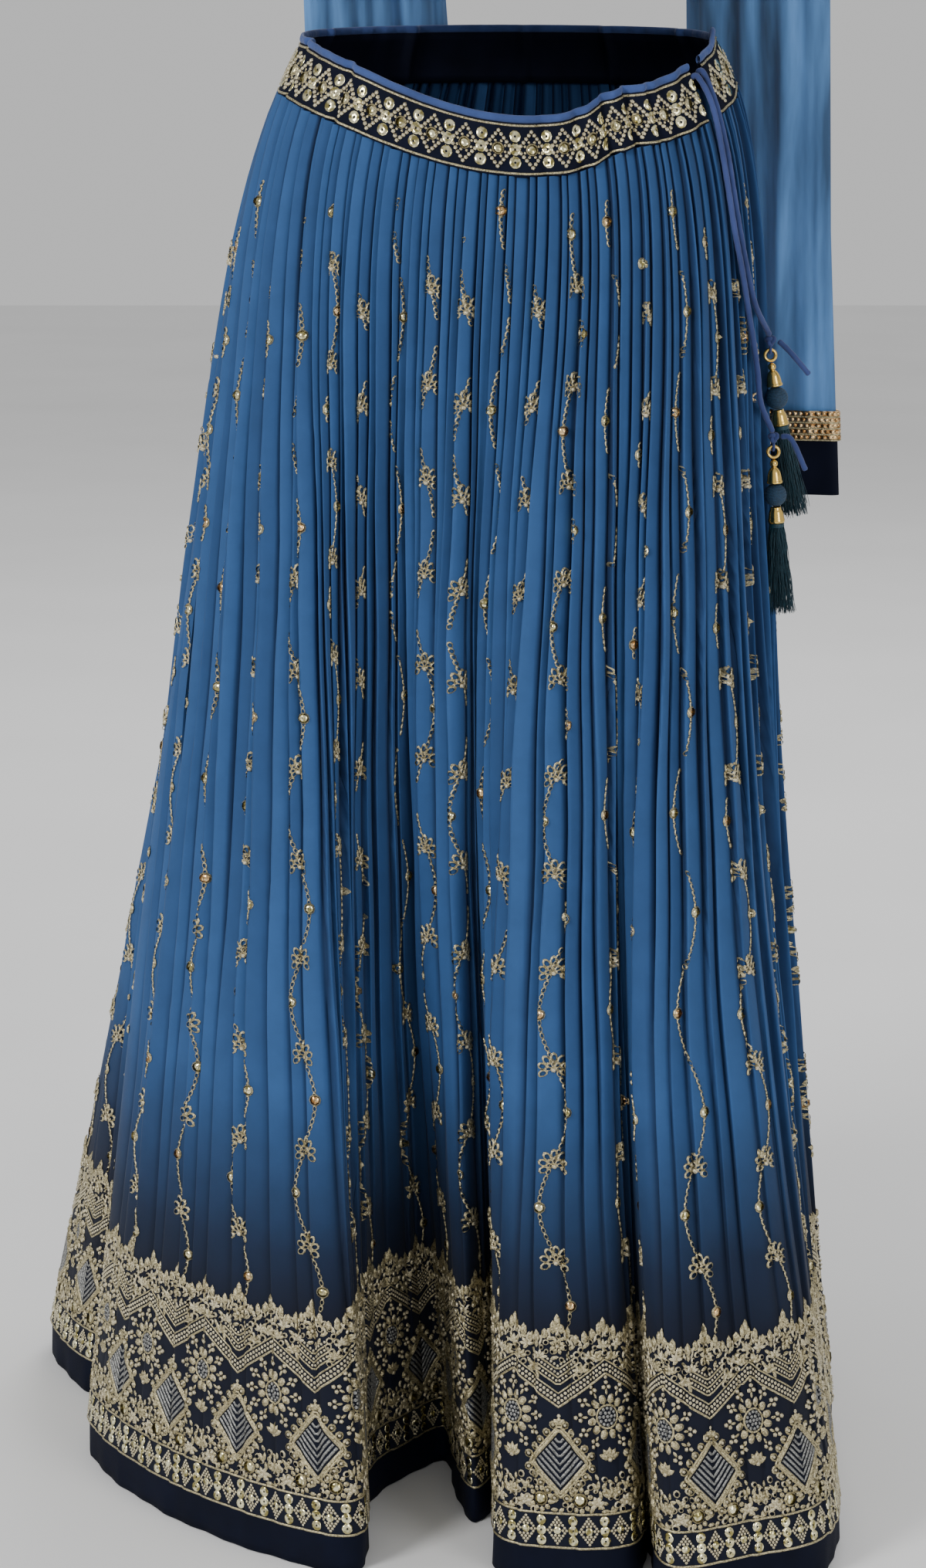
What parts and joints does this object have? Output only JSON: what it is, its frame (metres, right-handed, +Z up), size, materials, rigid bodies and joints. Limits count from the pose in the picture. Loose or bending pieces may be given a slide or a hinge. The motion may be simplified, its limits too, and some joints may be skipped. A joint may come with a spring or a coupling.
{
  "type": "lehenga choli",
  "caption": "Pleated flared skirt with a tilted embroidered waistband, tasselled drawstring and bordered hem, and a cropped blouse with long sheer sleeves, hollow as worn.",
  "frame": {"origin": "centre of the plane of the waistband's top at its back and sides, where the wearer holds the skirt", "axes": "+Z up, -Y the wearer's front, +X to the right of someone who looks at the front"},
  "size_m": [0.5971, 0.6154, 1.419],
  "materials": {
    "skirt": "soft mid-blue georgette, darker towards the hem",
    "navy": "matte navy crepe",
    "sheer": "sheer blue georgette",
    "gold": "copper-gold sequin trim",
    "cord": "matte periwinkle-blue cord and binding",
    "brass": "bright polished",
    "tassel": "dark teal silk thread"
  },
  "bodies": {
    "root": {"skirt_left_front": "skirt", "skirt_front_left": "skirt", "skirt_front": "skirt", "skirt_front_right": "skirt", "skirt_right": "skirt", "skirt_back_right": "skirt", "skirt_back": "skirt", "skirt_left_back": "skirt", "hem_band_left_front": "navy", "hem_band_front_left": "navy", "hem_band_front": "navy", "hem_band_front_right": "navy", "hem_band_right": "navy", "hem_band_back_right": "navy", "hem_band_back": "navy", "hem_band_left_back": "navy", "waistband": "navy", "waistband_binding": "cord", "choli_front": "navy", "choli_back": "navy", "sleeve_left": "sheer", "sleeve_right": "sheer", "sleeve_trim_left": "gold", "sleeve_trim_right": "gold", "sleeve_cuff_left": "navy", "sleeve_cuff_right": "navy", "drawcord_a": "cord", "drawcord_b": "cord", "cord_tail_a": "cord", "cord_tail_b": "cord", "knot_a": "cord", "knot_b": "cord", "tassel_a_ring": "brass", "tassel_a_bell": "brass", "tassel_a_ball": "tassel", "tassel_a_cap": "brass", "tassel_a_fringe": "tassel", "tassel_b_ring": "brass", "tassel_b_bell": "brass", "tassel_b_ball": "tassel", "tassel_b_cap": "brass", "tassel_b_fringe": "tassel"}
  },
  "joints": []
}
